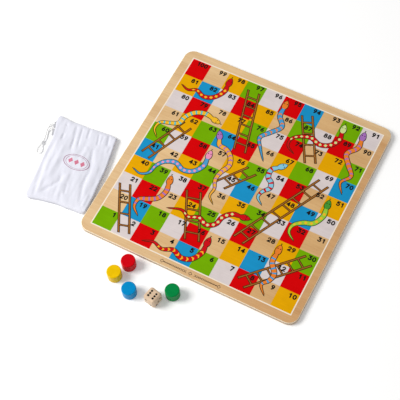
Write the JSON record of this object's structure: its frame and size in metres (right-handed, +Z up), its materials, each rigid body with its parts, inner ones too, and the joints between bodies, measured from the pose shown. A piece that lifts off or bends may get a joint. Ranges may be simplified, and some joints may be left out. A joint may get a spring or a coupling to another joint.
{
  "type": "snakes and ladders board",
  "caption": "Plywood snakes and ladders board with a numbered printed field, wooden counters and die beside it, and a cotton drawstring bag to keep them in.",
  "frame": {"origin": "on the board's underside, below the middle of the playing field, on the table that the set lies on", "axes": "+X along the row of squares 1 to 10, +Y up the board towards square 100, +Z up out of the printed face"},
  "size_m": [0.3838, 0.3327, 0.016],
  "materials": {
    "face_veneer": "satin",
    "crossband": "matt",
    "core": "matt",
    "clear_lacquer": "satin",
    "white_ink": "satin",
    "red_ink": "satin",
    "yellow_ink": "satin",
    "green_ink": "satin",
    "blue_ink": "satin",
    "ladder_ink": "satin",
    "snake_ink": "satin",
    "red_paint": "gloss paint on wood",
    "yellow_paint": "gloss paint on wood",
    "blue_paint": "gloss paint on wood",
    "green_paint": "gloss paint on wood",
    "die_wood": "lacquered",
    "black_paint": "matt",
    "cotton": "woven",
    "cotton_cord": "twisted"
  },
  "bodies": {
    "board": {"face_veneer": "face_veneer", "upper_crossband": "crossband", "core_ply": "core", "lower_crossband": "crossband", "back_veneer": "face_veneer", "bare_squares": "clear_lacquer", "white_squares": "white_ink", "red_squares": "red_ink", "yellow_squares": "yellow_ink", "green_squares": "green_ink", "blue_squares": "blue_ink", "field_line": "white_ink", "ladder_2_to_21": "ladder_ink", "ladder_8_to_30": "ladder_ink", "ladder_16_to_37": "ladder_ink", "ladder_27_to_69": "ladder_ink", "ladder_41_to_62": "ladder_ink", "ladder_45_to_55": "ladder_ink", "ladder_65_to_97": "ladder_ink", "ladder_73_to_94": "ladder_ink", "snake_98_to_81": "snake_ink", "snake_78_to_60": "snake_ink", "snake_57_to_40": "snake_ink", "snake_64_to_36": "snake_ink", "snake_38_to_19": "snake_ink", "snake_34_to_23": "snake_ink", "snake_15_to_3": "snake_ink", "snake_51_to_32": "snake_ink", "snake_29_to_9": "snake_ink", "snake_91_to_70": "snake_ink", "snake_67_to_47": "snake_ink", "snake_95_to_66": "snake_ink", "snake_92_to_74": "snake_ink"},
    "red_counter": {"red_counter": "red_paint"},
    "yellow_counter": {"yellow_counter": "yellow_paint"},
    "blue_counter": {"blue_counter": "blue_paint"},
    "green_counter": {"green_counter": "green_paint"},
    "die": {"die": "die_wood", "die_pips": "black_paint"},
    "bag": {"bag_body": "cotton", "bag_hem": "cotton", "drawstring_in_hem": "cotton_cord", "drawstring_loop": "cotton_cord", "drawstring_knot": "cotton_cord"}
  },
  "joints": [
    {"name": "red_counter_lift", "type": "slide", "parent": "board", "child": "red_counter", "axis": [0, 0, 1], "range_m": [0, 0.05]},
    {"name": "yellow_counter_lift", "type": "slide", "parent": "board", "child": "yellow_counter", "axis": [0, 0, 1], "range_m": [0, 0.05]},
    {"name": "blue_counter_lift", "type": "slide", "parent": "board", "child": "blue_counter", "axis": [0, 0, 1], "range_m": [0, 0.05]},
    {"name": "green_counter_lift", "type": "slide", "parent": "board", "child": "green_counter", "axis": [0, 0, 1], "range_m": [0, 0.05]},
    {"name": "die_roll", "type": "hinge", "parent": "board", "child": "die", "pos_m": [-0.01968, -0.1876, 0], "axis": [0.9781, -0.2079, 0], "range_deg": [0, 90]},
    {"name": "bag_lift", "type": "slide", "parent": "board", "child": "bag", "axis": [0, 0, 1], "range_m": [0, 0.05]}
  ]
}
